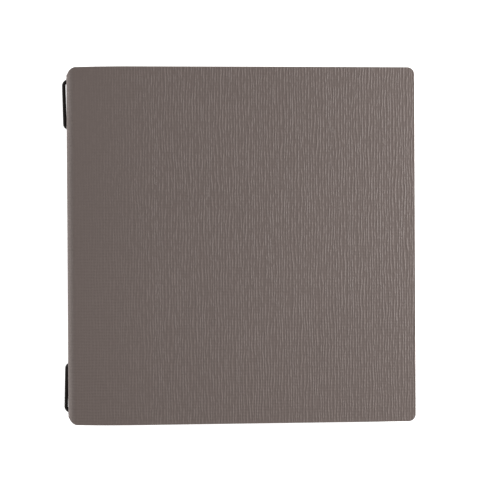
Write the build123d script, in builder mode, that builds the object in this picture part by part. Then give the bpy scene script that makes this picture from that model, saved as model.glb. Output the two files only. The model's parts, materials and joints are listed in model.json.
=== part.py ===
from build123d import *
from math import atan2, degrees, pi
import os

# Scrapbook album for 12 x 12 inch pages, lying closed on its back cover. X runs from the
# spine (-X) to the fore edge, +Y is the head, +Z is up. The origin is the middle of the
# underside, halfway between the elastic loops and the fore edge. Sizes are in millimetres.

# ---- cover ----
COVER_WIDTH = 310.0  # spine face to fore edge
COVER_HEIGHT = 317.0  # tail to head
CORNER_RADIUS = 7.5
SKIN = 0.6  # leatherette, also its turned-in margin
BOARD = 1.6
COVER_THICK = SKIN + BOARD + SKIN
ROLL_RADIUS = 8.0  # outside of the soft corner between a cover and the spine
ROLL_SEAM = 1.2  # degrees of the roll between the part that turns and the part that stays
BOARD_BACK = 1.0  # board edge behind the end of the roll
TURN_IN = 14.0  # width of the turned-in margin
SPINE_BOARD = 1.0
SPINE_LINING = 0.4

# ---- sheets: each is scored twice, so that it has a narrow fold between its two leaves ----
SHEETS = 8
SHEET = 0.5  # album card
PAGE_HEIGHT = 305.0
FIRST_FOLD = 3.6  # outermost fold, from the spine face
FOLD_STEP = 0.8  # from one fold to the next, along X
CREASE_STEP = 0.95  # from one crease to the next, along Z
FORE_STEP = 0.82  # from one leaf to the next at the fore edge, where they lie closer
FIRST_CREASE = 3.4  # innermost crease, from the mid plane
FORE_MARGIN = 4.0  # cover past the page edge
CREASE_GAP = 0.5  # crease to the end of the fold, and to the start of the leaf
PAGE_CLEARANCE = 0.35  # last leaf to cover

# ---- elastics: two closed loops through four spine holes ----
CORD = 3.0
LOOP_OUT = 4.7  # outermost point of a loop, from the spine face
LOOP_PITCH = 41.6  # between the two holes of a loop
LOOP_FROM_MIDDLE = 126.0  # loop centre, from mid height
LOOP_SLANT = 0.7  # the end nearer mid height lies this much closer to the spine
OUTER_BEND = 4.3
INNER_BEND = 2.6
EYELET_BORE = 4.4
EYELET_BARREL = 5.0
EYELET_FLANGE = 7.2
EYELET_RIM = 0.5
PUNCHED_HOLE = 3.6
CRIMP_LENGTH = 9.0
CRIMP_WALL = 0.3
CRIMP_CLEARANCE = 0.05  # crimp to the innermost fold

# ---- derived ----
SPINE_X = (LOOP_OUT - COVER_WIDTH) / 2
FORE_X = SPINE_X + COVER_WIDTH
PAGE_X = FORE_X - FORE_MARGIN
LAST_CREASE = FIRST_CREASE + (SHEETS - 1) * CREASE_STEP
HALF_THICK = LAST_CREASE + SHEET / 2 + PAGE_CLEARANCE + COVER_THICK
MID_Z = HALF_THICK
WEB = 2 * (HALF_THICK - ROLL_RADIUS)  # flat stretch of the spine
LOWEST_PAGE = COVER_THICK + PAGE_CLEARANCE + SHEET / 2
# A cover turns about a line just outside the middle of the roll, placed so that the roll's
# quarter turn lies flat, without stretching, when the cover comes in line with the spine.
HINGE = ROLL_RADIUS * (1 - pi / 4)
PANEL_START = ROLL_RADIUS - HINGE
FORE_SINK = (2 * SHEETS - 1) * (CREASE_STEP - FORE_STEP) + 2 * FIRST_CREASE - CREASE_STEP
FRONT_SLOPE = degrees(atan2(FORE_SINK, PAGE_X - SPINE_X - FIRST_FOLD))

os.makedirs("parts", exist_ok=True)


def save(builder, name):
    """Label the finished piece and write its STEP file."""
    builder.part.label = name
    export_step(builder.part, f"parts/{name}.step")


def cover_plane(hinge_z, outward, slope=0.0):
    """Frame of one cover: origin on its hinge line, X to the fore edge, Z outward."""
    flat = Plane(origin=(SPINE_X + HINGE, 0, hinge_z), x_dir=(1, 0, 0), z_dir=(0, 0, outward))
    return flat.rotated((0, slope, 0))


def outline(inset, start):
    """Rounded plan of the cover in its own frame, kept from start to the fore edge."""
    length = COVER_WIDTH - 2 * inset
    with Locations((COVER_WIDTH / 2 - HINGE, 0)):
        RectangleRounded(length, COVER_HEIGHT - 2 * inset, CORNER_RADIUS - inset)
    with Locations((start, 0)):
        Rectangle(
            2 * COVER_WIDTH,
            COVER_HEIGHT,
            align=(Align.MIN, Align.CENTER),
            mode=Mode.INTERSECT,
        )


def margin(inset, start):
    """Straight-sided area inside the turned-in margin."""
    length = COVER_WIDTH - HINGE - inset - start
    with Locations((start, 0)):
        Rectangle(length, COVER_HEIGHT - 2 * inset, align=(Align.MIN, Align.CENTER))


def roll_section(start_angle, arc):
    """Cross-section of a stretch of the rolled skin, about the centre of the roll."""
    with BuildSketch() as section:
        with BuildLine():
            outer = CenterArc((0, 0), ROLL_RADIUS, start_angle, arc)
            inner = CenterArc((0, 0), ROLL_RADIUS - SKIN, start_angle, arc)
            Line(outer @ 0, inner @ 0)
            Line(outer @ 1, inner @ 1)
        make_face()
    return section.sketch


# ---- covers ----
def make_cover(side, plane):
    """Skin with its half of the roll, board and lining of one cover."""
    cross_plane = Plane(origin=plane.origin, x_dir=plane.x_dir, z_dir=-plane.y_dir)
    roll = roll_section(90, 45 - ROLL_SEAM)
    with BuildPart() as skin:
        with BuildSketch(cross_plane):
            with Locations((PANEL_START, -PANEL_START)):
                add(roll)
            with Locations((PANEL_START, HINGE)):
                Rectangle(COVER_WIDTH, COVER_THICK, align=(Align.MIN, Align.MAX))
        extrude(amount=COVER_HEIGHT / 2, both=True)
        with BuildSketch(plane.offset(-ROLL_RADIUS)):
            outline(0, -HINGE)
        extrude(amount=2 * ROLL_RADIUS, mode=Mode.INTERSECT)
        with BuildSketch(plane.offset(HINGE - SKIN - BOARD)):
            outline(SKIN, PANEL_START + BOARD_BACK)
        extrude(amount=BOARD, mode=Mode.SUBTRACT)
        with BuildSketch(plane.offset(HINGE - COVER_THICK)):
            margin(TURN_IN, PANEL_START + BOARD_BACK)
        extrude(amount=SKIN, mode=Mode.SUBTRACT)
    save(skin, f"{side}_cover_skin")

    with BuildPart() as board:
        with BuildSketch(plane.offset(HINGE - SKIN - BOARD)):
            outline(SKIN, PANEL_START + BOARD_BACK)
        extrude(amount=BOARD)
    save(board, f"{side}_board")

    with BuildPart() as lining:
        with BuildSketch(plane.offset(HINGE - COVER_THICK)):
            margin(TURN_IN, PANEL_START + BOARD_BACK)
        extrude(amount=SKIN)
    save(lining, f"{side}_lining")


make_cover("back", cover_plane(HINGE, -1))
make_cover("front", cover_plane(2 * MID_Z - HINGE, 1, FRONT_SLOPE))

# ---- spine ----
hole_points = [
    (side * LOOP_FROM_MIDDLE + end * LOOP_PITCH / 2, 0) for side in (-1, 1) for end in (-1, 1)
]
spine_length = COVER_HEIGHT - 2 * CORNER_RADIUS
spine_face = Plane(origin=(SPINE_X, 0, MID_Z), x_dir=(0, 1, 0), z_dir=(1, 0, 0))


def spine_strip(height, length, hole):
    """Outline of a strip along the spine with the four cord holes."""
    Rectangle(length, height)
    with Locations(*hole_points):
        Circle(hole / 2, mode=Mode.SUBTRACT)


upper_roll = roll_section(180, -45)
lower_roll = roll_section(180, 45)
with BuildPart() as spine_skin:
    with BuildSketch(Plane.XZ):
        with Locations((SPINE_X + ROLL_RADIUS, MID_Z + WEB / 2)):
            add(upper_roll)
        with Locations((SPINE_X + ROLL_RADIUS, MID_Z - WEB / 2)):
            add(lower_roll)
        with Locations((SPINE_X, MID_Z)):
            Rectangle(SKIN, WEB, align=(Align.MIN, Align.CENTER))
    extrude(amount=COVER_HEIGHT / 2, both=True)
    with BuildSketch():
        with Locations((SPINE_X + COVER_WIDTH / 2, 0)):
            RectangleRounded(COVER_WIDTH, COVER_HEIGHT, CORNER_RADIUS)
    extrude(amount=2 * MID_Z, mode=Mode.INTERSECT)
    with BuildSketch(spine_face):
        with Locations(*hole_points):
            Circle(EYELET_BARREL / 2)
    extrude(amount=SKIN, mode=Mode.SUBTRACT)
save(spine_skin, "spine_skin")

with BuildPart() as spine_board:
    with BuildSketch(spine_face.offset(SKIN)):
        spine_strip(WEB - SKIN, spine_length, EYELET_BARREL)
    extrude(amount=SPINE_BOARD)
save(spine_board, "spine_board")

with BuildPart() as spine_lining:
    with BuildSketch(spine_face.offset(SKIN + SPINE_BOARD)):
        spine_strip(WEB, spine_length, EYELET_BARREL)
    extrude(amount=SPINE_LINING)
save(spine_lining, "spine_lining")

web_depth = SKIN + SPINE_BOARD + SPINE_LINING
with BuildPart() as spine_eyelets:
    with BuildSketch(spine_face.offset(-EYELET_RIM)):
        with Locations(*hole_points):
            Circle(EYELET_FLANGE / 2)
    extrude(amount=EYELET_RIM)
    with BuildSketch(spine_face):
        with Locations(*hole_points):
            Circle(EYELET_BARREL / 2)
    extrude(amount=web_depth)
    with BuildSketch(spine_face.offset(web_depth)):
        with Locations(*hole_points):
            Circle(EYELET_FLANGE / 2)
    extrude(amount=EYELET_RIM)
    with BuildSketch(spine_face.offset(-EYELET_RIM)):
        with Locations(*hole_points):
            Circle(EYELET_BORE / 2)
    extrude(amount=web_depth + 2 * EYELET_RIM, mode=Mode.SUBTRACT)
save(spine_eyelets, "spine_eyelets")

# ---- folded sheets: number 1 is the outermost, and the last one lies in the middle ----
for number in range(1, SHEETS + 1):
    depth = FIRST_FOLD + (number - 1) * FOLD_STEP
    crease = LAST_CREASE - (number - 1) * CREASE_STEP
    rise = (number - 1) * FORE_STEP
    fore_z = {
        "back": LOWEST_PAGE + rise,
        "front": LOWEST_PAGE + (2 * SHEETS - 1) * FORE_STEP - rise,
    }

    with BuildPart() as fold:
        with BuildSketch(spine_face.offset(depth - SHEET / 2)):
            spine_strip(2 * (crease - CREASE_GAP), PAGE_HEIGHT, PUNCHED_HOLE)
        extrude(amount=SHEET)
    save(fold, f"sheet_{number}_fold")

    for side, sign in (("front", 1), ("back", -1)):
        crease_point = Vector(SPINE_X + depth, 0, MID_Z + sign * crease)
        run = Vector(PAGE_X, 0, fore_z[side]) - crease_point
        along = Plane(origin=crease_point, x_dir=run, z_dir=run.cross(Vector(0, 1, 0)))
        with BuildPart() as leaf:
            with BuildSketch(along):
                with Locations((CREASE_GAP, 0)):
                    Rectangle(
                        run.length - CREASE_GAP,
                        PAGE_HEIGHT,
                        align=(Align.MIN, Align.CENTER),
                    )
            extrude(amount=SHEET / 2, both=True)
        save(leaf, f"sheet_{number}_{side}_leaf")

# ---- elastics ----
outer_x = SPINE_X - LOOP_OUT + CORD / 2
last_fold_face = SPINE_X + FIRST_FOLD + (SHEETS - 1) * FOLD_STEP + SHEET / 2
inner_x = last_fold_face + CORD / 2 + CRIMP_WALL + CRIMP_CLEARANCE
for side, name in ((1, "upper"), (-1, "lower")):
    far_y = side * (LOOP_FROM_MIDDLE + LOOP_PITCH / 2)
    near_y = side * (LOOP_FROM_MIDDLE - LOOP_PITCH / 2)
    corners = [
        (outer_x, far_y, MID_Z),
        (outer_x + LOOP_SLANT, near_y, MID_Z),
        (inner_x, near_y, MID_Z),
        (inner_x, far_y, MID_Z),
    ]
    bends = [OUTER_BEND, OUTER_BEND - LOOP_SLANT, INNER_BEND, INNER_BEND]
    with BuildPart() as elastic:
        with BuildLine() as route:
            FilletPolyline(*corners, radius=bends, close=True)
        loop = route.wire()
        with BuildSketch(Plane(origin=loop @ 0, z_dir=loop % 0)):
            Circle(CORD / 2)
        sweep(path=loop)
    save(elastic, f"{name}_elastic")
    length = loop.length
    print(
        f"{name}_elastic: loop length {length:.1f}, bends {bends},",
        f"volume over section x length {elastic.part.volume / (pi * CORD**2 / 4 * length):.4f}",
    )

with BuildPart() as elastic_crimps:
    for side in (-1, 1):
        start_y = side * LOOP_FROM_MIDDLE - CRIMP_LENGTH / 2
        end_on = Plane(origin=(inner_x, start_y, MID_Z), x_dir=(1, 0, 0), z_dir=(0, 1, 0))
        with BuildSketch(end_on):
            Circle(CORD / 2 + CRIMP_WALL)
            Circle(CORD / 2, mode=Mode.SUBTRACT)
        extrude(amount=CRIMP_LENGTH)
save(elastic_crimps, "elastic_crimps")

print(f"thickness at the spine {2 * MID_Z:.2f}, front cover slope {FRONT_SLOPE:.3f} degrees")
print(f"hinge line {HINGE:.3f} inside the cover and spine faces, spine face x {SPINE_X:.2f}")
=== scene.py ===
import json
import math

import bmesh
import bpy
import numpy as np
from bpy.props import FloatProperty, FloatVectorProperty, IntProperty, PointerProperty
from bpy.types import Operator, Panel, PropertyGroup
from mathutils import Euler, Matrix, Vector


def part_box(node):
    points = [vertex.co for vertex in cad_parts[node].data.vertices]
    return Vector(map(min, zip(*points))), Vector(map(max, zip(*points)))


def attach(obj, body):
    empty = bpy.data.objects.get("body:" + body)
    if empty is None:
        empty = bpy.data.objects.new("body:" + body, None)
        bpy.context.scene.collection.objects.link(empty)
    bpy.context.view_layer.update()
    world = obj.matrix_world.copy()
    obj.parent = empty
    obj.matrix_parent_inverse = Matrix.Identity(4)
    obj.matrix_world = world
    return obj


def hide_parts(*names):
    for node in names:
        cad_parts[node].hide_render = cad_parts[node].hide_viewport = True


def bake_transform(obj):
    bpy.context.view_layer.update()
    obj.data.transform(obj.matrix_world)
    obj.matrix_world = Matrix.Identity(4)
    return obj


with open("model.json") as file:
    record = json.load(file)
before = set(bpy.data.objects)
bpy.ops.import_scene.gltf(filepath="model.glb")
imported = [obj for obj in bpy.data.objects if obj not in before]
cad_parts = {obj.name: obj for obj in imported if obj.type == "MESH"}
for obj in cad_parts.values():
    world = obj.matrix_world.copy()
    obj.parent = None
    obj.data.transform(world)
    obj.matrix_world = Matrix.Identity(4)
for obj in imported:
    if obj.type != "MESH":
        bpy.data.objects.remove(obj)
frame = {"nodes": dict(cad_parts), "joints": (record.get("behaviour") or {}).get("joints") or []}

bl_info = {
    "name": "Elastic-bound scrapbook album",
    "version": (1, 0, 0),
    "blender": (4, 5, 0),
    "location": "3D View > Sidebar > Album",
    "description": "Builds the album's skins, boards, sheets and elastics round its packed frame",
    "category": "Object",
}

MM = 0.001
JOINTS = {joint["name"]: joint for joint in frame["joints"]}
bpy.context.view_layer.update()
SHEETS = sum(name.endswith("_fold") for name in frame["nodes"])
ELASTICS = ("upper_elastic", "lower_elastic")
FRAME_FINISHES = {
    "_board": "Greyboard", "spine_lining": "Lining paper", "_fold": "Album card"}

# ---- places and sizes read from the frame ----
SPINE_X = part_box("spine_skin")[0].x
MID_Z = sum(corner.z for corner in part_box("spine_board")) / 2
FORE_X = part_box("back_cover_skin")[1].x
HALF_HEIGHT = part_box("back_cover_skin")[1].y
COVER_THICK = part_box("back_lining")[1].z
SKIN_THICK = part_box("back_board")[0].z
BACK_HINGE = Vector(JOINTS["spine_hinge"]["pos_m"])
FRONT_HINGE = Vector(JOINTS["front_cover_hinge"]["pos_m"])
HINGE_INSET = BACK_HINGE.x - SPINE_X
ROLL_RADIUS = HINGE_INSET / (1 - math.pi / 4)
FRONT_SLOPE = math.radians(JOINTS["front_cover_hinge"]["range_deg"][1] - 90)
SPINE_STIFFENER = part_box("spine_lining")[1].x - SPINE_X
BOARD_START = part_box("back_board")[0].x
SHEET_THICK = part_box("sheet_1_fold")[1].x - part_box("sheet_1_fold")[0].x
SOFT_THICK = 0.66 * MM  # skin and paper where the roll bends
SPINE_PULL = 1.3 * MM  # the head and tail edges draw in towards the spine
SPINE_PULL_RUN = 60 * MM
SPINE_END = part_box("spine_board")[1].y + 0.9 * MM  # the skin covers the spine board's ends
LINING_STEP = 0.1 * MM  # the lining's edge stands this much above and below the skin's face
FADE_START = 0 * MM  # the emboss is shallow near the spine and full towards the fore edge
FADE_END = 85 * MM
LOOP_SLANT = 1.0 * MM  # the end nearer mid height stands out less
LOWER_LOOP_TIGHTER = 0.45 * MM  # the lower loop stands out this much less
OUTER_BEND = 4.3 * MM
INNER_BEND = 2.6 * MM
BRAID_LAY = 11 * MM  # length of one full turn of a strand
BRAID_RELIEF = 0.09 * MM
BRAID_THREAD = 0.18 * MM
LEAF_SEED = 40
HAIR = 0.02 * MM  # gap between boards, linings and skins that touch

# ---- the leatherette's weave ----
WEFT_PITCH = 2.69 * MM
WEFT_ROW = 2.7 * MM  # height of the patches in which the weft breaks off
WEFT_BREAK = 12 * MM  # typical length of an unbroken weft thread
WEFT_WANDER = 14 * MM  # length over which the weft drifts out of step
CANVAS_PITCH = 0.9 * MM
PORE_SIZE = 0.5 * MM

# ---- how finely the meshes are cut ----
SKIN_STEP = 0.5 * MM  # spacing of the skin's columns
SKIN_ROWS = 110
INSIDE_STEP = 4 * MM  # spacing of the boards' and linings' columns
INSIDE_ROWS = 24
EDGE_STEPS = 4  # each half of the wrap's rounded edge
CORNER_STEPS = 10  # rounded corners of the skins and of the cord's route
BEND_STEPS = 8  # a leaf's bend at its crease
LEAF_ROWS = 32
CORD_RINGS = 420
CORD_SIDES = 40
TURN_STEPS = 48  # eyelets and crimps

# ---- turned profiles: distance along the axis and radius, in millimetres ----
EYELET_PROFILE = (
    (2.7, 2.2), (-0.2, 2.2), (-0.42, 2.32), (-0.5, 2.6), (-0.46, 3.0), (-0.32, 3.38),
    (-0.1, 3.58), (0.02, 3.6), (0.02, 2.5), (2.55, 2.5), (2.6, 3.1), (2.75, 3.2), (2.9, 3.05),
    (2.92, 2.6), (2.85, 2.3))
CRIMP_PROFILE = (
    (-4.5, 1.53), (-4.5, 1.72), (-4.35, 1.8), (-3.0, 1.8), (-2.6, 1.72), (-1.6, 1.72),
    (-1.2, 1.8), (1.2, 1.8), (1.6, 1.72), (2.6, 1.72), (3.0, 1.8), (4.35, 1.8), (4.5, 1.72),
    (4.5, 1.53))

# ---- stage ----
CAMERA_TARGET = (-0.58 * MM, -0.62 * MM, 20 * MM)
CAMERA_TILT = (-0.348, -2.034, -0.305)
CAMERA_DISTANCE = 1.1
CAMERA_LENS = 90.52
FLOOR_HALF = 6.0
FLOOR_GLOW = 0.75
WORLD_LIGHT = 0.36
LIGHT_AIM = Vector((0, 0, 20 * MM))
LIGHTS = (
    ("key light", (0.40, 0.40), (0.98, 0.10, 0.47), 13.2),
    ("spine light", (0.5, 1.6), (-1.8, 0.0, 0.5), 24.0),
)


# ======== sizes and colours a user may change ========
def length_setting(name, description, default, low, high):
    """Setting for a length, given in millimetres."""
    return FloatProperty(
        name=name, description=description, default=default * MM, min=low * MM, max=high * MM,
        unit="LENGTH", subtype="DISTANCE")


def colour_setting(name, description, default):
    """Setting for a colour."""
    return FloatVectorProperty(
        name=name, description=description, default=default, min=0, max=1, size=3,
        subtype="COLOR")


class AlbumSizes(PropertyGroup):
    corner_radius: length_setting(
        "Fore corner radius", "Rounding of the corners at the fore edge", 6.6, 2, 20)
    spine_corner_radius: length_setting(
        "Spine corner radius", "Rounding of the corners at the spine", 9.2, 2, 20)
    edge_radius: length_setting("Edge radius", "Rounding of the wrapped cover edge", 0.9, 0.2, 1.4)
    roll_dip: length_setting("Roll dip", "How far the skin sinks beside the spine", 0.28, 0.0, 0.5)
    turn_in: length_setting("Turn-in", "Width of the skin turned over to the inside", 14, 6, 25)
    ridge_height: length_setting("Ridge height", "Height of the embossed ridges", 0.19, 0.0, 0.5)
    ridge_pitch: length_setting(
        "Ridge pitch", "Typical spacing of the ridges across the cover", 2.45, 0.5, 6)
    ridge_length: length_setting(
        "Ridge length", "Typical length of a ridge along the spine direction", 5, 2, 60)
    cord_diameter: length_setting("Cord diameter", "Diameter of the elastic cord", 3.3, 1, 5)
    braid_strands: IntProperty(
        name="Braid strands", description="Strands of the cord's braid each way round",
        default=8, min=4, max=16)
    page_wave: length_setting("Page wave", "Slight waviness of the card leaves", 0.07, 0.0, 0.15)


class AlbumColours(PropertyGroup):
    leatherette: colour_setting("Leatherette", "Colour of the cover skin", (0.1425, 0.1110, 0.1000))
    greyboard: colour_setting("Greyboard", "Colour of the cover boards", (0.34, 0.31, 0.27))
    lining: colour_setting("Lining", "Colour of the inside lining", (0.085, 0.075, 0.071))
    card: colour_setting("Album card", "Colour of the folded sheets", (0.76, 0.72, 0.64))
    elastic: colour_setting("Elastic", "Colour of the elastic cord", (0.014, 0.012, 0.011))
    eyelet: colour_setting("Eyelet", "Colour of the lacquered eyelets", (0.02, 0.02, 0.02))
    crimp: colour_setting("Crimp", "Colour of the metal crimps", (0.55, 0.54, 0.52))


# ======== node helpers ========
def add_node(tree, kind, settings=None, **inputs):
    """New node with its settings and input values; a socket as a value is linked."""
    node = tree.nodes.new(kind)
    for name, value in (settings or {}).items():
        setattr(node, name, value)
    for name, value in inputs.items():
        put(tree, node.inputs[name.replace("_", " ")], value)
    return node


def put(tree, socket, value):
    """Set a socket's value, or link another socket to it."""
    if isinstance(value, bpy.types.NodeSocket):
        tree.links.new(value, socket)
    else:
        socket.default_value = value


def math_node(tree, operation, first, second=None):
    """Output of a math node."""
    node = tree.nodes.new("ShaderNodeMath")
    node.operation = operation
    put(tree, node.inputs[0], first)
    if second is not None:
        put(tree, node.inputs[1], second)
    return node.outputs[0]


def times(tree, first, second):
    """Product of two values."""
    return math_node(tree, "MULTIPLY", first, second)


def plus(tree, first, second):
    """Sum of two values."""
    return math_node(tree, "ADD", first, second)


def vector_math(tree, operation, first, second=None, scale=None):
    """Vector output of a vector math node."""
    node = tree.nodes.new("ShaderNodeVectorMath")
    node.operation = operation
    put(tree, node.inputs[0], first)
    if second is not None:
        put(tree, node.inputs[1], second)
    if scale is not None:
        put(tree, node.inputs["Scale"], scale)
    return node.outputs[0]


def stretch(tree, value, low, high, new_low=0.0, new_high=1.0):
    """Value carried from one range to another, kept within it."""
    node = tree.nodes.new("ShaderNodeMapRange")
    put(tree, node.inputs["Value"], value)
    for name, number in (("From Min", low), ("From Max", high),
                         ("To Min", new_low), ("To Max", new_high)):
        put(tree, node.inputs[name], number)
    return node.outputs["Result"]


def mix_colour(tree, factor, first, second):
    """Colour output of a colour mix."""
    node = tree.nodes.new("ShaderNodeMix")
    node.data_type = "RGBA"
    put(tree, node.inputs[0], factor)
    put(tree, node.inputs[6], first)
    put(tree, node.inputs[7], second)
    return node.outputs[2]


def combine(tree, x, y, z=0.0):
    """Vector put together from three values."""
    node = tree.nodes.new("ShaderNodeCombineXYZ")
    for socket, value in zip(node.inputs, (x, y, z)):
        put(tree, socket, value)
    return node.outputs[0]


def noise(tree, vector, scale, detail=2.0, roughness=0.5, distortion=0.0):
    """Factor output of a noise texture."""
    node = add_node(tree, "ShaderNodeTexNoise", Vector=vector, Scale=scale, Detail=detail,
                    Roughness=roughness, Distortion=distortion)
    return node.outputs[0]


def shade(colour, amount):
    """RGBA colour made darker or lighter."""
    return (*[min(1.0, channel * amount) for channel in colour], 1.0)


def new_group(name, kind, inputs, outputs):
    """Empty node group with its sockets, and its input and output nodes."""
    group = bpy.data.node_groups.new(name, kind)
    for way, sockets in (("INPUT", inputs), ("OUTPUT", outputs)):
        for label, value in sockets.items():
            group.interface.new_socket(label, in_out=way, socket_type="NodeSocket" + value)
    return group, group.nodes.new("NodeGroupInput"), group.nodes.new("NodeGroupOutput")


def read_attribute(group, name, kind="FLOAT"):
    """Value of a named attribute in a geometry tree."""
    return add_node(group, "GeometryNodeInputNamedAttribute", {"data_type": kind},
                    Name=name).outputs[0]


def store_attribute(group, geometry, name, value):
    """Geometry with a value stored on it under a name."""
    return add_node(group, "GeometryNodeStoreNamedAttribute", {"data_type": "FLOAT"},
                    Geometry=geometry, Name=name, Value=value).outputs[0]


def move_along_normal(group, geometry, distance):
    """Geometry with each point moved along its normal."""
    normal = group.nodes.new("GeometryNodeInputNormal").outputs[0]
    return add_node(group, "GeometryNodeSetPosition", Geometry=geometry,
                    Offset=vector_math(group, "SCALE", normal, scale=distance)).outputs[0]


def end_tree(group, geometry, enter, leave):
    """Finished tree: its geometry made real, given its material and sent out."""
    real = add_node(group, "GeometryNodeRealizeInstances", Geometry=geometry)
    coated = add_node(group, "GeometryNodeSetMaterial", Geometry=real.outputs[0],
                      Material=enter.outputs["Material"])
    put(group, leave.inputs[0], coated.outputs[0])
    group.is_modifier = True
    return group


def use_group(tree, group, **inputs):
    """A shader group placed in a material."""
    return add_node(tree, "ShaderNodeGroup", {"node_tree": group}, **inputs)


def new_material(name, metallic=0.0, **shader_values):
    """Material with a Principled shader whose constants are set on its own sockets."""
    material = bpy.data.materials.new(name)
    material.use_nodes = True
    tree = material.node_tree
    shader = tree.nodes["Principled BSDF"]
    shader.inputs["Metallic"].default_value = metallic
    for socket, value in shader_values.items():
        shader.inputs[socket.replace("_", " ")].default_value = value
    return material, tree, shader


def link_shader(tree, shader, colour, roughness, normal):
    """Colour, roughness and normal given to a material's shader."""
    for name, value in (("Base Color", colour), ("Roughness", roughness), ("Normal", normal)):
        put(tree, shader.inputs[name], value)


def bump(tree, height, distance, strength):
    """Normal output of a bump node."""
    node = add_node(tree, "ShaderNodeBump", Strength=strength, Distance=distance, Height=height)
    return node.outputs["Normal"]


def ridge_pattern(tree, x, y, pitch, length):
    """Height from 0 to 1 of the embossed ridges: broken upright lines, slightly out of step."""
    across = math_node(tree, "DIVIDE", x, pitch)
    along = math_node(tree, "DIVIDE", y, length)
    sway = noise(tree, combine(tree, times(tree, across, 0.22), times(tree, along, 0.07)),
                 1.0, 1.0)
    place = plus(tree, across, times(tree, sway, 2.0))
    column = math_node(tree, "FLOOR", place)
    strip = times(tree, column, 7.31)
    drift = noise(tree, combine(tree, strip, times(tree, along, 0.5), 3.7), 1.0, 0.0)
    middle = plus(tree, stretch(tree, drift, 0.3, 0.7, -0.16, 0.16), 0.5)
    offset = math_node(tree, "ABSOLUTE", math_node(
        tree, "SUBTRACT", math_node(tree, "SUBTRACT", place, column), middle))
    pulse = stretch(tree, offset, 0.32, 0.05)
    broken = noise(tree, combine(tree, strip, along), 1.0, 1.0)
    return times(tree, pulse, stretch(tree, broken, 0.36, 0.56, 0.12, 1.0))


# ======== shader groups ========
def make_fibre_group():
    """Paper and board fibres: mottling for the colour, and a height for the bump."""
    group, enter, leave = new_group(
        "Paper fibre", "ShaderNodeTree",
        {"Vector": "Vector", "Fibre size": "Float"},
        {"Mottle": "Float", "Fibre": "Float", "Height": "Float"})
    unit = math_node(group, "DIVIDE", 1.0, enter.outputs["Fibre size"])
    scaled = vector_math(group, "SCALE", enter.outputs["Vector"], scale=unit)
    bent = noise(group, scaled, 0.35, 2.0)
    along = vector_math(group, "MULTIPLY", scaled, (1.0, 0.22, 1.0))
    across = vector_math(group, "MULTIPLY", scaled, (0.25, 1.0, 1.0))
    fibre = math_node(group, "MAXIMUM", noise(group, along, 1.0, 3.0, 0.6, 0.6),
                      noise(group, across, 1.1, 3.0, 0.6, 0.6))
    mottle = noise(group, scaled, 0.02, 3.0, 0.55)
    height = plus(group, times(group, fibre, 0.7), times(group, bent, 0.3))
    put(group, leave.inputs["Mottle"], mottle)
    put(group, leave.inputs["Fibre"], fibre)
    put(group, leave.inputs["Height"], height)
    return group


def make_scuff_group():
    """Fine handling marks, used by the lacquered and metal parts and the skin."""
    group, enter, leave = new_group(
        "Handling marks", "ShaderNodeTree",
        {"Vector": "Vector", "Mark size": "Float"}, {"Marks": "Float", "Patches": "Float"})
    unit = math_node(group, "DIVIDE", 1.0, enter.outputs["Mark size"])
    scaled = vector_math(group, "SCALE", enter.outputs["Vector"], scale=unit)
    drawn = vector_math(group, "MULTIPLY", scaled, (1.0, 0.15, 0.5))
    streaks = noise(group, drawn, 3.0, 4.0, 0.65)
    patches = noise(group, scaled, 0.35, 2.0)
    put(group, leave.inputs["Marks"], stretch(group, streaks, 0.52, 0.72))
    put(group, leave.inputs["Patches"], patches)
    return group


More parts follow.
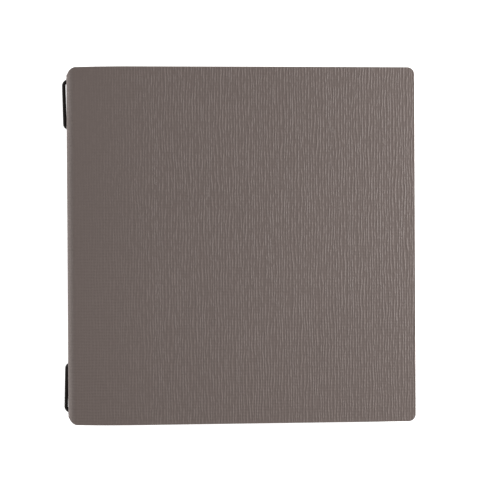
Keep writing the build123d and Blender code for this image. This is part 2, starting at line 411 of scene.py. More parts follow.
# ======== materials ========
def make_leatherette(colours, sizes, scuffs):
    """Matt taupe leatherette with a linen emboss that follows the skin's own flat pattern."""
    material, tree, shader = new_material("Linen leatherette", Specular_IOR_Level=0.42,
                                          Sheen_Weight=0.03, Sheen_Roughness=0.5)
    flat = add_node(tree, "ShaderNodeAttribute", {"attribute_name": "flat"}).outputs["Vector"]
    emboss = add_node(tree, "ShaderNodeAttribute", {"attribute_name": "emboss"}).outputs["Fac"]
    fade = add_node(tree, "ShaderNodeAttribute", {"attribute_name": "emboss_fade"}).outputs["Fac"]
    split = add_node(tree, "ShaderNodeSeparateXYZ", Vector=flat)
    x, y = split.outputs["X"], split.outputs["Y"]

    ridges = ridge_pattern(tree, x, y, sizes.ridge_pitch, sizes.ridge_length)
    wander = noise(tree, vector_math(tree, "SCALE", flat, scale=1 / WEFT_WANDER), 1.0, 2.0)
    rows = plus(tree, times(tree, y, 2 * math.pi / WEFT_PITCH), times(tree, wander, 5.0))
    weft = stretch(tree, math_node(tree, "SINE", rows), -0.2, 1.0)
    breaks = noise(tree, combine(tree, times(tree, x, 1 / WEFT_BREAK),
                                 times(tree, y, 1 / WEFT_ROW)), 1.0, 1.0)
    weft = times(tree, weft, stretch(tree, breaks, 0.35, 0.62, 0.55, 1.0))
    thread_x = math_node(tree, "SINE", times(tree, x, 2 * math.pi / CANVAS_PITCH))
    thread_y = math_node(tree, "SINE", times(tree, y, 2 * math.pi / CANVAS_PITCH))
    canvas = times(tree, thread_x, thread_y)
    pores = noise(tree, vector_math(tree, "SCALE", flat, scale=1 / PORE_SIZE), 1.0, 2.0, 0.6)

    height = times(tree, weft, stretch(tree, fade, 0.0, 1.0, 0.85, 0.30))
    height = plus(tree, height, times(tree, canvas, 0.02))
    height = plus(tree, height, times(tree, pores, 0.04))
    height = plus(tree, height, times(tree, times(tree, ridges, fade), 0.76))

    marks = use_group(tree, scuffs, Vector=flat, Mark_size=50 * MM)
    # painted light and shade: the skin's colour is lighter on the ridge crests and darker in the
    # valleys between them, following the emboss height
    relief = times(tree, math_node(tree, "MAXIMUM", ridges, emboss), fade)
    colour = mix_colour(tree, relief, shade(colours.leatherette, 0.96),
                        shade(colours.leatherette, 1.16))
    worn = stretch(tree, marks.outputs["Patches"], 0.3, 0.7, 0.0, 0.10)
    colour = mix_colour(tree, worn, colour, shade(colours.leatherette, 1.35))
    rough = stretch(tree, plus(tree, relief, marks.outputs["Marks"]), 0.0, 2.0, 0.62, 0.46)
    link_shader(tree, shader, colour, rough, bump(tree, height, 0.25 * MM, 0.9))
    return material


def make_paper(name, colour, fibre, fibre_size, mottle_amount, depth, roughness):
    """Paper, card or board: fibres in the colour, the roughness and the relief."""
    material, tree, shader = new_material(name, Specular_IOR_Level=0.25)
    place = add_node(tree, "ShaderNodeTexCoord").outputs["Object"]
    fibres = use_group(tree, fibre, Vector=place, Fibre_size=fibre_size)
    base = mix_colour(tree, stretch(tree, fibres.outputs["Mottle"], 0.35, 0.65),
                      shade(colour, 1 - mottle_amount), shade(colour, 1 + mottle_amount))
    flecks = stretch(tree, fibres.outputs["Fibre"], 0.60, 0.78, 0.0, 0.35)
    base = mix_colour(tree, flecks, base, shade(colour, 1 - 2.5 * mottle_amount))
    rough = stretch(tree, fibres.outputs["Fibre"], 0.3, 0.7, roughness, roughness + 0.12)
    link_shader(tree, shader, base, rough, bump(tree, fibres.outputs["Height"], depth, 0.6))
    return material


def make_elastic(colours):
    """Black braided elastic, from its own attributes along and round the cord."""
    material, tree, shader = new_material("Braided elastic", Specular_IOR_Level=0.12,
                                          Sheen_Weight=0.02, Sheen_Roughness=0.6)
    braid = add_node(tree, "ShaderNodeAttribute", {"attribute_name": "braid"}).outputs["Fac"]
    place = add_node(tree, "ShaderNodeTexCoord").outputs["Object"]
    threads = noise(tree, vector_math(tree, "SCALE", place, scale=1 / BRAID_THREAD), 1.0, 2.0, 0.6)
    # painted light and shade: the cord's colour is darker in the sunken grooves between strands and
    # lighter on the raised strand tops
    colour = mix_colour(tree, braid, shade(colours.elastic, 0.45), shade(colours.elastic, 1.7))
    colour = mix_colour(tree, stretch(tree, threads, 0.5, 0.8, 0.0, 0.3), colour,
                        shade(colours.elastic, 3.0))
    link_shader(tree, shader, colour, stretch(tree, threads, 0.3, 0.7, 0.70, 0.85),
                bump(tree, threads, 0.04 * MM, 0.7))
    return material


def make_metal(name, colour, scuffs, metallic, rough):
    """Lacquered or plated metal with fine handling marks."""
    material, tree, shader = new_material(name, metallic=metallic)
    place = add_node(tree, "ShaderNodeTexCoord").outputs["Object"]
    marks = use_group(tree, scuffs, Vector=place, Mark_size=4 * MM)
    worn = marks.outputs["Marks"]
    link_shader(tree, shader,
                mix_colour(tree, worn, shade(colour, 1.0), shade(colour, 1.8)),
                stretch(tree, marks.outputs["Patches"], 0.3, 0.7, rough, rough + 0.18),
                bump(tree, worn, 0.02 * MM, 0.4))
    return material


def material(name):
    """A finished material by name."""
    return bpy.data.materials[name]


# ======== the cover's flat pattern and its place in the album ========
class CoverHalf:
    """Half of the wrap: web middle, soft corner and panel, as one developable strip.

    u is the length along the wrap from the middle of the web, y runs tail to head, and depth
    goes from the outer face towards the pages. All in metres.
    """

    def __init__(self, side, sizes):
        self.front = side == "front"
        self.side = side
        self.sizes = sizes
        self.slope = FRONT_SLOPE if self.front else 0.0
        hinge = FRONT_HINGE if self.front else BACK_HINGE
        hinge_rise = hinge.z - MID_Z if self.front else MID_Z - hinge.z
        reach = ROLL_RADIUS - HINGE_INSET
        self.centre = np.array((
            SPINE_X + ROLL_RADIUS,
            hinge_rise - reach * (1 + math.sin(self.slope)) / math.cos(self.slope)))
        self.web = self.centre[1]
        self.arc = math.pi / 2 + self.slope
        self.panel_u = self.web + ROLL_RADIUS * self.arc
        cos, sin = math.cos(self.slope), math.sin(self.slope)
        self.panel_point = self.centre + ROLL_RADIUS * np.array((sin, cos))
        self.panel_run = np.array((cos, -sin))
        along = (self.panel_point - np.array((hinge.x, hinge_rise))) @ self.panel_run
        self.end_u = self.panel_u + (FORE_X - hinge.x) - along
        self.board_u = self.panel_u + (BOARD_START - hinge.x) - along

    def section(self, u):
        """Point and outward normal in the cross-section, with heights from mid thickness."""
        u = np.asarray(u, float)
        turn = np.clip((u - self.web) / ROLL_RADIUS, 0, self.arc)
        angle = math.pi - turn
        normal = np.stack((np.cos(angle), np.sin(angle)), -1)
        rolled = self.centre + ROLL_RADIUS * normal
        web_short = np.clip(self.web - u, 0, None)[..., None] * np.array((0.0, -1.0))
        panel_on = np.clip(u - self.panel_u, 0, None)[..., None] * self.panel_run
        return rolled + web_short + panel_on, normal

    def dip(self, u):
        """Inward pull of the outer face beside the spine, strongest where the roll ends."""
        spread = np.where(u < self.panel_u, 6 * MM, 16 * MM)
        return self.sizes.roll_dip * np.exp(-(((u - self.panel_u) / spread) ** 2))

    def place(self, u, y, depth):
        """Points in the album for flat-pattern coordinates."""
        point, normal = self.section(u)
        sunk = self.dip(u) * np.clip(1 - depth / self.depth(u), 0, 1)
        spot = point - normal * (depth + sunk)[..., None]
        height = MID_Z + spot[..., 1] if self.front else MID_Z - spot[..., 1]
        return np.stack((spot[..., 0], np.broadcast_to(y, height.shape), height), -1)

    def half_height(self, u):
        """Half of the wrap's width at u: it narrows over the spine with round corners."""
        radius = self.sizes.spine_corner_radius
        point, _ = self.section(u)
        short = np.clip(radius - (point[..., 0] - SPINE_X), 0, radius)
        reach = np.sqrt(radius ** 2 - short ** 2)
        pull = SPINE_PULL * np.clip(1 - (u - self.web) / SPINE_PULL_RUN, 0, 1) ** 2
        return np.maximum(HALF_HEIGHT - radius + reach - pull, SPINE_END)

    def depth(self, u):
        """Full thickness of the cover at u: stiffened web, soft corner and board."""
        on_web = ease((self.web + 2 * MM - u) / (1.6 * MM))
        on_board = ease((u - self.board_u + 1 * MM) / (1.5 * MM))
        web_thick = SPINE_STIFFENER + SKIN_THICK + 0.05 * MM
        return (SOFT_THICK + (web_thick - SOFT_THICK) * on_web
                + (COVER_THICK - SOFT_THICK) * on_board)

    def hollow_top(self, u):
        """Depth of the hollow's outer wall: the skin's own thickness."""
        return np.minimum(SKIN_THICK, 0.45 * self.depth(u))

    def hollow_floor(self, u):
        """Depth of the turned-in flap's hidden face."""
        return np.maximum(self.depth(u) - SKIN_THICK, 0.55 * self.depth(u))

    def roll_ends(self):
        """Points in the album where the roll meets the web and the panel."""
        places = self.place(np.array((self.web, self.panel_u)), np.zeros(2), np.zeros(2))
        return [Vector(spot) for spot in places]


def ease(value):
    """Smooth step from 0 to 1."""
    value = np.clip(value, 0, 1)
    return value * value * (3 - 2 * value)


def columns(half, start_u, end_u, step, corner):
    """Column positions for a piece: fine in the roll, with the fore corner's arc at the end."""
    flat_end = end_u - corner
    roll_end = min(max(half.panel_u + 6 * MM, start_u), flat_end)
    stops = [start_u]
    if roll_end > start_u:
        count = max(2, math.ceil((roll_end - start_u) / min(step, 0.8 * MM)))
        stops = list(np.linspace(start_u, roll_end, count + 1))
    count = max(2, math.ceil((flat_end - roll_end) / step))
    stops += list(np.linspace(roll_end, flat_end, count + 1))[1:]
    turns = np.linspace(0, math.pi / 2, CORNER_STEPS + 1)[1:]
    return np.array(stops), turns


def ring(half, body, turns, rows, end_u, corner, base_inset, inset, depth):
    """Boundary of the piece moved in by inset, at a depth that may follow u."""
    full = inset + base_inset
    radius = max(corner - inset, 0.4 * MM)
    arc_u = end_u - inset - radius
    squeeze = (arc_u - body[0]) / (body[-1] - body[0])
    u_head = body[0] + (body - body[0]) * squeeze
    y_head = half.half_height(u_head) - full
    arc_y = HALF_HEIGHT - full - radius
    u_arc = arc_u + radius * np.sin(turns)
    y_arc = arc_y + radius * np.cos(turns)
    u_top = np.concatenate((u_head, u_arc))
    y_top = np.concatenate((y_head, y_arc))
    u_side = np.full(len(rows) - 2, u_top[-1])
    y_side = rows[1:-1][::-1] * y_top[-1]
    u = np.concatenate((u_top, u_side, u_top[::-1]))
    y = np.concatenate((y_top, y_side, -y_top[::-1]))
    return u, y, depth(u) if callable(depth) else np.full(len(u), depth)


def turn_outward(mesh):
    """Close a mesh where it's open, and turn all of its faces outward."""
    shape = bmesh.new()
    shape.from_mesh(mesh)
    bmesh.ops.holes_fill(shape, edges=[e for e in shape.edges if e.is_boundary], sides=0)
    bmesh.ops.recalc_face_normals(shape, faces=shape.faces)
    shape.to_mesh(mesh)
    shape.free()


def wrapped_mesh(name, half, start_u, end_u, step, row_count, corner, base_inset, rings):
    """Closed slab on the flat pattern: a grid on its outer face, then rings round its rim and
    a long-strip inner face. rings holds (inset, depth) pairs, the first being the grid's rim."""
    body, turns = columns(half, start_u, end_u, step, corner)
    rows = np.linspace(-1, 1, row_count)
    first = ring(half, body, turns, rows, end_u, corner, base_inset, *rings[0])
    width = len(body) + len(turns)
    u_top, y_top, d_top = (values[:width] for values in first)
    grid_u = np.repeat(u_top[:, None], row_count, 1)
    grid_y = y_top[:, None] * rows[None, :]
    grid_d = np.repeat(d_top[:, None], row_count, 1)
    flats = [np.stack((grid_u, grid_y, grid_d), -1).reshape(-1, 3)]
    index = np.arange(width * row_count).reshape(width, row_count)
    edge = np.concatenate((index[:, -1], index[-1, 1:-1][::-1], index[::-1, 0]))
    faces = [
        (index[i, j], index[i + 1, j], index[i + 1, j + 1], index[i, j + 1])
        for i in range(width - 1) for j in range(row_count - 1)]
    total = width * row_count
    outer = [np.ones(total)]
    for inset, depth in rings[1:]:
        flats.append(np.stack(ring(half, body, turns, rows, end_u, corner, base_inset,
                                   inset, depth), -1))
        following = np.arange(total, total + len(edge))
        faces += [(edge[k], edge[k + 1], following[k + 1], following[k])
                  for k in range(len(edge) - 1)]
        edge = following
        total += len(edge)
        outer.append(np.zeros(len(edge)))
    top, bottom = edge[:width], edge[-width:][::-1]
    faces += [(top[k + 1], top[k], bottom[k], bottom[k + 1]) for k in range(width - 2)]
    faces.append([top[-2], bottom[-2], *edge[width - 1:len(edge) - width + 1][::-1]])
    flat = np.concatenate(flats)
    points = half.place(flat[:, 0], flat[:, 1], flat[:, 2])
    mesh = bpy.data.meshes.new(name)
    mesh.from_pydata(points.tolist(), [], [tuple(int(i) for i in face) for face in faces])
    turn_outward(mesh)
    stored = mesh.attributes.new("flat", "FLOAT_VECTOR", "POINT")
    way = np.array((1.0 if half.front else -1.0, 1.0, 0.0))
    stored.data.foreach_set("vector", (flat * way).astype(np.float32).ravel())
    mask = mesh.attributes.new("outer_face", "FLOAT", "POINT")
    mask.data.foreach_set("value", np.concatenate(outer).astype(np.float32))
    return mesh


def place_object(name, data):
    """New object in the scene."""
    thing = bpy.data.objects.new(name, data)
    bpy.context.scene.collection.objects.link(thing)
    return thing


def finish_object(name, mesh, *materials):
    """Mesh object in the scene with its materials, smooth but for its sharp edges."""
    for item in materials:
        mesh.materials.append(item)
    mesh.shade_smooth()
    mesh.set_sharp_from_angle(angle=math.radians(40))
    return place_object(name, mesh)


def plain_mesh(thing):
    """The object with its modifiers' result as its own mesh."""
    shown = thing.evaluated_get(bpy.context.evaluated_depsgraph_get())
    mesh = bpy.data.meshes.new_from_object(shown)
    thing.modifiers.clear()
    old = thing.data
    if thing.type == "MESH":
        thing.data = mesh
        bpy.data.meshes.remove(old)
        return thing
    made = place_object(thing.name, mesh)
    bpy.data.objects.remove(thing)
    made.name = made.name.split(".")[0]
    return made


def run_tree(thing, group, **values):
    """Geometry Nodes on an object, with its inputs set by identifier, made a plain mesh."""
    modifier = thing.modifiers.new(group.name, "NODES")
    modifier.node_group = group
    names = {item.name: item.identifier for item in group.interface.items_tree
             if item.item_type == "SOCKET" and item.in_out == "INPUT"}
    for name, value in values.items():
        modifier[names[name.replace("_", " ")]] = value
    return plain_mesh(thing)


# ======== geometry trees ========
def make_emboss_tree():
    """Raises irregular ridges on the outer face of a skin and stores their height."""
    group, enter, leave = new_group(
        "Emboss skin", "GeometryNodeTree",
        {"Skin": "Geometry", "Ridge height": "Float", "Ridge pitch": "Float",
         "Ridge length": "Float", "Fade start": "Float", "Fade end": "Float",
         "Material": "Material"}, {"Skin": "Geometry"})
    flat = read_attribute(group, "flat", "FLOAT_VECTOR")
    mask = read_attribute(group, "outer_face")
    split = add_node(group, "ShaderNodeSeparateXYZ", Vector=flat)
    crest = ridge_pattern(group, split.outputs[0], split.outputs[1],
                          enter.outputs["Ridge pitch"], enter.outputs["Ridge length"])
    from_spine = math_node(group, "ABSOLUTE", split.outputs[0])
    fade = stretch(group, from_spine, enter.outputs["Fade start"],
                   enter.outputs["Fade end"], 0.05, 1.0)
    height = times(group, math_node(group, "SUBTRACT", crest, 0.95), times(group, fade, mask))
    skin = move_along_normal(group, enter.outputs["Skin"],
                             times(group, height, enter.outputs["Ridge height"]))
    skin = store_attribute(group, skin, "emboss", crest)
    skin = store_attribute(group, skin, "emboss_fade", fade)
    return end_tree(group, skin, enter, leave)


def make_braid_tree():
    """Turns a route into a braided cord, with crossing strands raised on its surface."""
    group, enter, leave = new_group(
        "Braid cord", "GeometryNodeTree",
        {"Route": "Geometry", "Radius": "Float", "Strands": "Int", "Lay": "Float",
         "Relief": "Float", "Rings": "Int", "Material": "Material"}, {"Cord": "Geometry"})
    even = add_node(group, "GeometryNodeResampleCurve", Curve=enter.outputs["Route"],
                    Count=enter.outputs["Rings"])
    travel = group.nodes.new("GeometryNodeSplineParameter").outputs["Length"]
    route = store_attribute(group, even.outputs[0], "travel", travel)
    circle = add_node(group, "GeometryNodeCurvePrimitiveCircle", Resolution=CORD_SIDES,
                      Radius=enter.outputs["Radius"])
    index = group.nodes.new("GeometryNodeInputIndex").outputs[0]
    profile = store_attribute(group, circle.outputs[0], "turn",
                              times(group, index, 2 * math.pi / CORD_SIDES))
    tube = add_node(group, "GeometryNodeCurveToMesh", Curve=route, Profile_Curve=profile)
    along, about = read_attribute(group, "travel"), read_attribute(group, "turn")
    strands = enter.outputs["Strands"]
    step = times(group, math_node(group, "DIVIDE", along, enter.outputs["Lay"]),
                 times(group, strands, math.pi))
    spin = times(group, about, math_node(group, "DIVIDE", strands, 2.0))
    one = math_node(group, "SINE", plus(group, spin, step))
    other = math_node(group, "SINE", math_node(group, "SUBTRACT", spin, step))
    braid = math_node(group, "MAXIMUM", math_node(group, "ABSOLUTE", one),
                      math_node(group, "ABSOLUTE", other))
    raised = stretch(group, braid, 0.45, 1.0)
    lift = times(group, math_node(group, "SUBTRACT", raised, 1.0), enter.outputs["Relief"])
    cord = move_along_normal(group, tube.outputs[0], lift)
    return end_tree(group, store_attribute(group, cord, "braid", raised), enter, leave)


def make_set_tree():
    """Places one turned piece on every point of a mesh."""
    group, enter, leave = new_group(
        "Set pieces", "GeometryNodeTree",
        {"Points": "Geometry", "Piece": "Object", "Material": "Material"},
        {"Pieces": "Geometry"})
    piece = add_node(group, "GeometryNodeObjectInfo", Object=enter.outputs["Piece"])
    placed = add_node(group, "GeometryNodeInstanceOnPoints", Points=enter.outputs["Points"],
                      Instance=piece.outputs["Geometry"])
    return end_tree(group, placed.outputs[0], enter, leave)


def turned_mesh(name, profile, axis):
    """Closed mesh turned from (along, radius) points about an axis through the origin."""
    count = len(profile)
    points, faces = [], []
    for step in range(TURN_STEPS):
        angle = 2 * math.pi * step / TURN_STEPS
        for place, distance in profile:
            along, radius = place * MM, distance * MM
            a, b = radius * math.cos(angle), radius * math.sin(angle)
            points.append((along, a, b) if axis == "X" else (a, along, b))
    for step in range(TURN_STEPS):
        following = (step + 1) % TURN_STEPS
        for k in range(count):
            nxt = (k + 1) % count
            faces.append((step * count + k, step * count + nxt,
                          following * count + nxt, following * count + k))
    mesh = bpy.data.meshes.new(name)
    mesh.from_pydata(points, [], faces)
    turn_outward(mesh)
    return mesh


def set_pieces(name, mesh, spots, finish, tree):
    """One object holding a turned piece at each spot."""
    source = finish_object(name + "_one", mesh)
    dots = bpy.data.meshes.new(name)
    dots.from_pydata(spots, [], [])
    made = run_tree(place_object(name, dots), tree, Piece=source, Material=finish)
    bpy.data.objects.remove(source)
    return made


# ======== operators ========
class AlbumPiece:
    """What the operators share: the undo option."""

    bl_options = {"REGISTER", "UNDO"}


class ALBUM_OT_finishes(AlbumPiece, Operator):
    """Makes the album's materials"""

    bl_idname = "album.finishes"
    bl_label = "Make finishes"

    def execute(self, context):
        colours, sizes = context.scene.album_colours, context.scene.album_sizes
        fibre, scuffs = make_fibre_group(), make_scuff_group()
        make_leatherette(colours, sizes, scuffs)
        make_paper("Greyboard", colours.greyboard, fibre, 0.9 * MM, 0.10, 0.05 * MM, 0.82)
        make_paper("Lining paper", colours.lining, fibre, 0.7 * MM, 0.08, 0.02 * MM, 0.70)
        make_paper("Album card", colours.card, fibre, 0.6 * MM, 0.016, 0.02 * MM, 0.72)
        make_elastic(colours)
        make_metal("Lacquered eyelet", colours.eyelet, scuffs, 0.0, 0.28)
        make_metal("Crimp metal", colours.crimp, scuffs, 1.0, 0.30)
        return {"FINISHED"}


def edge_rings(half, radius):
    """Rings over the rounded edge of the wrap: how far in each lies, and how deep."""
    def near(u, share):
        return np.minimum(radius, half.depth(u) / 2) * share

    angles = np.linspace(0, math.pi / 2, EDGE_STEPS + 1)
    rings = [(radius * (1 - math.sin(angle)),
              lambda u, share=1 - math.cos(angle): near(u, share)) for angle in angles]
    rings += [(radius * (1 - math.cos(angle)),
               lambda u, share=1 - math.sin(angle): half.depth(u) - near(u, share))
              for angle in angles[1:]]
    return rings


class ALBUM_OT_skins(AlbumPiece, Operator):
    """Builds the two halves of the wrapped cover skin, which meet at the middle of the spine"""

    bl_idname = "album.skins"
    bl_label = "Build cover skins"

    def execute(self, context):
        sizes = context.scene.album_sizes
        tree = make_emboss_tree()
        for side in ("front", "back"):
            half = CoverHalf(side, sizes)
            flap = sizes.turn_in
            rings = edge_rings(half, sizes.edge_radius) + [
                (flap / 2, half.depth), (flap, half.depth), (flap, half.hollow_floor),
                (flap / 2, half.hollow_floor), (SKIN_THICK, half.hollow_floor),
                (SKIN_THICK, half.hollow_top)]
            mesh = wrapped_mesh(f"{side}_cover_wrap", half, 0.0, half.end_u, SKIN_STEP,
                                SKIN_ROWS, sizes.corner_radius, 0.0, rings)
            skin = finish_object(f"{side}_cover_wrap", mesh)
            skin = run_tree(
                skin, tree, Ridge_height=sizes.ridge_height, Ridge_pitch=sizes.ridge_pitch,
                Ridge_length=sizes.ridge_length, Fade_start=FADE_START, Fade_end=FADE_END,
                Material=material("Linen leatherette"))
            start, end = half.roll_ends()
            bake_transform(skin)
            replaced = [f"{side}_cover_skin"] + (["spine_skin"] if half.front else [])
            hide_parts(*replaced)
        return {"FINISHED"}


def moved(depth, amount):
    """A depth that follows another one at a distance."""
    return lambda u: depth(u) + amount


class ALBUM_OT_boards(AlbumPiece, Operator):
    """Builds the two cover boards inside the wrapped skin"""

    bl_idname = "album.boards"
    bl_label = "Build cover boards"

    def execute(self, context):
        sizes = context.scene.album_sizes
        for side in ("front", "back"):
            half = CoverHalf(side, sizes)
            bevel = 0.25 * MM
            rings = [(bevel, moved(half.hollow_top, HAIR)),
                     (0.0, moved(half.hollow_top, HAIR + bevel)),
                     (0.0, moved(half.hollow_floor, -HAIR - bevel)),
                     (bevel, moved(half.hollow_floor, -HAIR))]
            mesh = wrapped_mesh(f"{side}_cover_board", half, half.board_u + 0.5 * MM, half.end_u,
                                INSIDE_STEP, INSIDE_ROWS, sizes.corner_radius,
                                SKIN_THICK + HAIR, rings)
            board = finish_object(f"{side}_cover_board", mesh, material("Greyboard"))
            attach(board, f"{side}_cover")
            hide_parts(f"{side}_board")
        return {"FINISHED"}


class ALBUM_OT_linings(AlbumPiece, Operator):
    """Builds the inside linings, which overlap the turned-in skin"""

    bl_idname = "album.linings"
    bl_label = "Build linings"

    def execute(self, context):
        sizes = context.scene.album_sizes
        for side in ("front", "back"):
            half = CoverHalf(side, sizes)

            def raised(amount, half=half):
                def depth(u):
                    on_board = ease((u - half.board_u - 1 * MM) / (4 * MM))
                    return half.depth(u) + amount * on_board + HAIR
                return depth

            overlap = 2 * MM
            tuck = overlap + 0.2 * MM
            rings = [(0.0, raised(LINING_STEP)), (0.0, raised(-LINING_STEP)),
                     (tuck, raised(-LINING_STEP)), (tuck, half.hollow_floor)]
            mesh = wrapped_mesh(
                f"{side}_inner_lining", half, half.web + 2 * MM,
                half.end_u - sizes.turn_in + overlap, INSIDE_STEP, INSIDE_ROWS, 2 * MM,
                sizes.turn_in - overlap, rings)
            lining = finish_object(f"{side}_inner_lining", mesh, material("Lining paper"))
            start, end = half.roll_ends()
            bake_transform(lining)
            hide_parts(f"{side}_lining")
        return {"FINISHED"}


class ALBUM_OT_frame_finishes(AlbumPiece, Operator):
    """Gives the frame's own boards, spine strips and folds their finishes"""

    bl_idname = "album.frame_finishes"
    bl_label = "Finish boards and folds"

    def execute(self, context):
        for name, node in frame["nodes"].items():
            for ending, finish in FRAME_FINISHES.items():
                if name.endswith(ending):
                    node.data.materials.clear()
                    node.data.materials.append(material(finish))
        return {"FINISHED"}


class ALBUM_OT_leaves(AlbumPiece, Operator):
    """Builds the leaves, each bending out of its fold at the crease"""

    bl_idname = "album.leaves"
    bl_label = "Build leaves"

    def execute(self, context):
        for number in range(1, SHEETS + 1):
            for side in ("front", "back"):
                name = f"sheet_{number}_{side}_leaf"
                leaf = build_leaf(name, number, side, context.scene.album_sizes)
                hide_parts(name)
        return {"FINISHED"}


def leaf_path(name, number, side):
    """Middle line of a leaf, from its fold round the crease to the fore edge, and its facing."""
    low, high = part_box(name)
    fold_low, fold_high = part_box(f"sheet_{number}_fold")
    fold_x = (fold_low.x + fold_high.x) / 2
    crease_z = JOINTS[f"sheet_{number}_{side}_crease"]["pos_m"][2]
    up = 1 if side == "front" else -1
    fold_end = fold_high.z if up > 0 else fold_low.z
    bend = abs(crease_z - fold_end)
    fore = np.array((high.x, low.z + SHEET_THICK / 2))
    run = fore - np.array((fold_x, crease_z))
    angles = np.linspace(0, math.pi / 2 - math.atan2(run[1] * up, run[0]), BEND_STEPS + 1)
    facing = np.stack((-np.cos(angles), up * np.sin(angles)), -1)
    bent = np.array((fold_x + bend, fold_end)) + bend * facing
    along = np.concatenate((np.linspace(0, 0.03, 4)[1:], np.linspace(0.03, 1, 44)[1:]))
    straight = bent[-1] + along[:, None] * (fore - bent[-1])
    path = np.concatenate((bent, straight))
    return path, np.concatenate((facing, np.repeat(facing[-1:], len(along), 0)))


def build_leaf(name, number, side, sizes):
    """One leaf: a thin closed sheet with a slight wave, which bends at its crease."""
    low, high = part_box(name)
    path, facing = leaf_path(name, number, side)
    rng = np.random.default_rng(LEAF_SEED + number * 2 + (side == "front"))
    phase = rng.uniform(0, 2 * math.pi, 4)
    pitch = rng.uniform(0.11, 0.24, 2)
    shares = np.clip((path[:, 0] - path[0, 0]) / (high.x - path[0, 0]), 0, 1)[:, None]
    y = np.linspace(low.y, high.y, LEAF_ROWS)[None, :]
    wave = (np.sin(2 * math.pi * y / pitch[0] + phase[0] + 2 * shares)
            + np.sin(2 * math.pi * y / pitch[1] + phase[1]) * np.cos(3 * shares + phase[2])) / 2
    wave = wave * sizes.page_wave * ease(shares / 0.25)
    # head and tail edges draw in by a varying hair, so that the leaves don't line up exactly
    drawn_y = y * (1 - 0.0006 * ease(shares / 0.1) * (1 + np.sin(phase[3] + 5 * shares)) / 2)
    layers = []
    for sign in (1, -1):
        offset = wave + sign * SHEET_THICK * 0.46
        layers.append(np.stack((path[:, 0:1] + facing[:, 0:1] * offset, drawn_y + 0 * offset,
                                path[:, 1:2] + facing[:, 1:2] * offset), -1))
    points = np.concatenate([layer.reshape(-1, 3) for layer in layers])
    count = len(path)
    index = np.arange(2 * count * LEAF_ROWS).reshape(2, count, LEAF_ROWS)
    faces = []
    for layer in index:
        faces += [(layer[i, j], layer[i + 1, j], layer[i + 1, j + 1], layer[i, j + 1])
                  for i in range(count - 1) for j in range(LEAF_ROWS - 1)]
    upper, lower = index
    for rim in ((slice(None), 0), (slice(None), -1), (0, slice(None)), (-1, slice(None))):
        first, second = upper[rim], lower[rim]
        faces += [(first[k], first[k + 1], second[k + 1], second[k])
                  for k in range(len(first) - 1)]
    mesh = bpy.data.meshes.new(name + "_sheet")
    mesh.from_pydata(points.tolist(), [], [tuple(int(i) for i in face) for face in faces])
    turn_outward(mesh)
    leaf = finish_object(name + "_sheet", mesh, material("Album card"))
    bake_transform(leaf)
    return leaf


class ALBUM_OT_elastics(AlbumPiece, Operator):
    """Builds the two braided elastic loops through the spine"""

    bl_idname = "album.elastics"
    bl_label = "Build elastics"

    def execute(self, context):
        sizes = context.scene.album_sizes
        tree = make_braid_tree()
        for name in ELASTICS:
            cord = place_object(name + "_braid", loop_route(name, sizes))
            cord = run_tree(cord, tree, Radius=sizes.cord_diameter / 2,
                            Strands=sizes.braid_strands, Rings=CORD_RINGS, Lay=BRAID_LAY,
                            Relief=BRAID_RELIEF, Material=material("Braided elastic"))
            cord.data.shade_smooth()
            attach(cord, "spine")
            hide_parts(name)
        return {"FINISHED"}


def loop_route(name, sizes):
    """Closed route of one elastic as a curve: out, down behind the spine's face and back in."""
    low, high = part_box(name)
    radius = (high.z - low.z) / 2
    way = 1 if high.y > 0 else -1
    far = way * (max(abs(low.y), abs(high.y)) - radius)
    near = way * (min(abs(low.y), abs(high.y)) + radius)
    tightness = LOWER_LOOP_TIGHTER if way < 0 else 0.0
    outer, inner = low.x + sizes.cord_diameter / 2 + tightness, high.x - radius
    corners = [(outer, far, OUTER_BEND), (outer + LOOP_SLANT, near, OUTER_BEND - LOOP_SLANT),
               (inner, near, INNER_BEND), (inner, far, INNER_BEND)]
    spots = []
    for place, (x, y, bend) in enumerate(corners):
        here = Vector((x, y))
        before = (Vector(corners[place - 1][:2]) - here).normalized()
        after = (Vector(corners[(place + 1) % 4][:2]) - here).normalized()
        half_turn = before.angle(after) / 2
        centre = here + (before + after).normalized() * bend / math.sin(half_turn)
        reach = bend / math.tan(half_turn)
        first = here + before * reach - centre
        last = here + after * reach - centre
        sweep = first.angle_signed(last)
        for step in range(CORNER_STEPS + 1):
            turned = Matrix.Rotation(-sweep * step / CORNER_STEPS, 2) @ first
            spots.append(centre + turned)
    route = bpy.data.curves.new(name + "_route", "CURVE")
    route.dimensions = "3D"
    line = route.splines.new("POLY")
    line.points.add(len(spots) - 1)
    for point, spot in zip(line.points, spots):
        point.co = (spot.x, spot.y, MID_Z, 1)
    line.use_cyclic_u = True
    return route


class ALBUM_OT_eyelets(AlbumPiece, Operator):
    """Builds the four eyelets in the spine's cord holes"""

    bl_idname = "album.eyelets"
    bl_label = "Build eyelets"

    def execute(self, context):
        spots = []
        for name in ELASTICS:
            low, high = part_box(name)
            inset = (high.z - low.z) / 2
            spots += [(SPINE_X, low.y + inset, MID_Z), (SPINE_X, high.y - inset, MID_Z)]
        made = set_pieces("cord_eyelets", turned_mesh("eyelet", EYELET_PROFILE, "X"), spots,
                          material("Lacquered eyelet"), make_set_tree())
        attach(made, "spine")
        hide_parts("spine_eyelets")
        return {"FINISHED"}


class ALBUM_OT_crimps(AlbumPiece, Operator):
    """Builds the two crimps that join the ends of the elastics"""

    bl_idname = "album.crimps"
    bl_label = "Build crimps"

    def execute(self, context):
        spots = []
        for name in ELASTICS:
            low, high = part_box(name)
            x = high.x - (high.z - low.z) / 2
            spots.append((x, (low.y + high.y) / 2, MID_Z))
        made = set_pieces("cord_crimps", turned_mesh("crimp", CRIMP_PROFILE, "Y"), spots,
                          material("Crimp metal"), make_set_tree())
        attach(made, "spine")
        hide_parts("elastic_crimps")
        return {"FINISHED"}


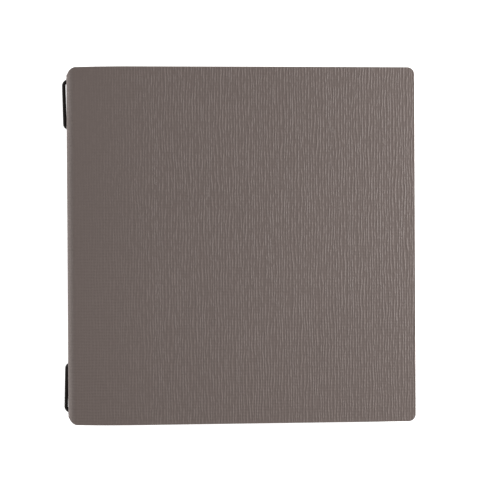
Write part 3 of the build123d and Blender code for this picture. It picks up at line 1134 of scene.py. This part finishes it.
class ALBUM_OT_stage(AlbumPiece, Operator):
    """Makes the pale floor, the soft lights and the camera"""

    bl_idname = "album.stage"
    bl_label = "Set the stage"

    def execute(self, context):
        scene = context.scene
        half = FLOOR_HALF
        floor_mesh = bpy.data.meshes.new("floor")
        floor_mesh.from_pydata(
            [(-half, -half, 0), (half, -half, 0), (half, half, 0), (-half, half, 0)],
            [], [(0, 1, 2, 3)])
        floor_finish, tree, shader = new_material("Pale floor", Roughness=0.9,
                                                  Specular_IOR_Level=0.1)
        place = add_node(tree, "ShaderNodeTexCoord").outputs["Object"]
        grain = noise(tree, vector_math(tree, "SCALE", place, scale=14.0), 1.0, 3.0)
        put(tree, shader.inputs["Base Color"],
            mix_colour(tree, grain, (0.93, 0.93, 0.93, 1), (0.95, 0.95, 0.95, 1)))
        shader.inputs["Emission Color"].default_value = (1, 1, 1, 1)
        shader.inputs["Emission Strength"].default_value = FLOOR_GLOW
        floor = finish_object("floor", floor_mesh, floor_finish)

        for name, size, spot, power in LIGHTS:
            lamp = bpy.data.lights.new(name, "AREA")
            lamp.shape = "RECTANGLE"
            lamp.size, lamp.size_y = size
            lamp.energy = power
            thing = place_object(name, lamp)
            thing.location = spot
            thing.rotation_mode = "QUATERNION"
            thing.rotation_quaternion = (LIGHT_AIM - Vector(spot)).to_track_quat("-Z", "Y")
        world = bpy.data.worlds.new("Soft studio")
        world.use_nodes = True
        sky = world.node_tree.nodes["Background"]
        sky.inputs["Color"].default_value = (1, 1, 1, 1)
        sky.inputs["Strength"].default_value = WORLD_LIGHT
        scene.world = world
        scene.view_settings.view_transform = "Standard"

        lens = bpy.data.cameras.new("camera")
        lens.lens = CAMERA_LENS
        lens.sensor_width = 36.0
        lens.clip_start, lens.clip_end = 0.05, 20
        camera = place_object("camera", lens)
        turn = (Euler((0, math.radians(CAMERA_TILT[1]), 0)).to_matrix()
                @ Euler((math.radians(CAMERA_TILT[0]), 0, 0)).to_matrix()
                @ Euler((0, 0, math.radians(CAMERA_TILT[2]))).to_matrix())
        spot = Vector(CAMERA_TARGET) + turn @ Vector((0, 0, CAMERA_DISTANCE))
        camera.matrix_world = Matrix.Translation(spot) @ turn.to_4x4()
        scene.camera = camera
        return {"FINISHED"}


class ALBUM_PT_tools(Panel):
    """The album's pieces and settings in the sidebar"""

    bl_idname = "ALBUM_PT_tools"
    bl_label = "Scrapbook album"
    bl_space_type = "VIEW_3D"
    bl_region_type = "UI"
    bl_category = "Album"

    def draw(self, context):
        layout = self.layout
        for operator in OPERATORS:
            layout.operator(operator.bl_idname)
        for settings in (context.scene.album_sizes, context.scene.album_colours):
            column = layout.column()
            for name in settings.__annotations__:
                column.prop(settings, name)


OPERATORS = (
    ALBUM_OT_finishes, ALBUM_OT_skins, ALBUM_OT_boards, ALBUM_OT_linings,
    ALBUM_OT_frame_finishes, ALBUM_OT_leaves, ALBUM_OT_elastics, ALBUM_OT_eyelets, ALBUM_OT_crimps,
    ALBUM_OT_stage)
CLASSES = (AlbumSizes, AlbumColours, *OPERATORS, ALBUM_PT_tools)


def register():
    for item in CLASSES:
        bpy.utils.register_class(item)
    bpy.types.Scene.album_sizes = PointerProperty(type=AlbumSizes)
    bpy.types.Scene.album_colours = PointerProperty(type=AlbumColours)


def unregister():
    del bpy.types.Scene.album_sizes
    del bpy.types.Scene.album_colours
    for item in reversed(CLASSES):
        bpy.utils.unregister_class(item)


def main():
    """Builds everything in order."""
    register()
    for operator in OPERATORS:
        group, name = operator.bl_idname.split(".")
        getattr(getattr(bpy.ops, group), name)()


if __name__ == "__main__":
    main()
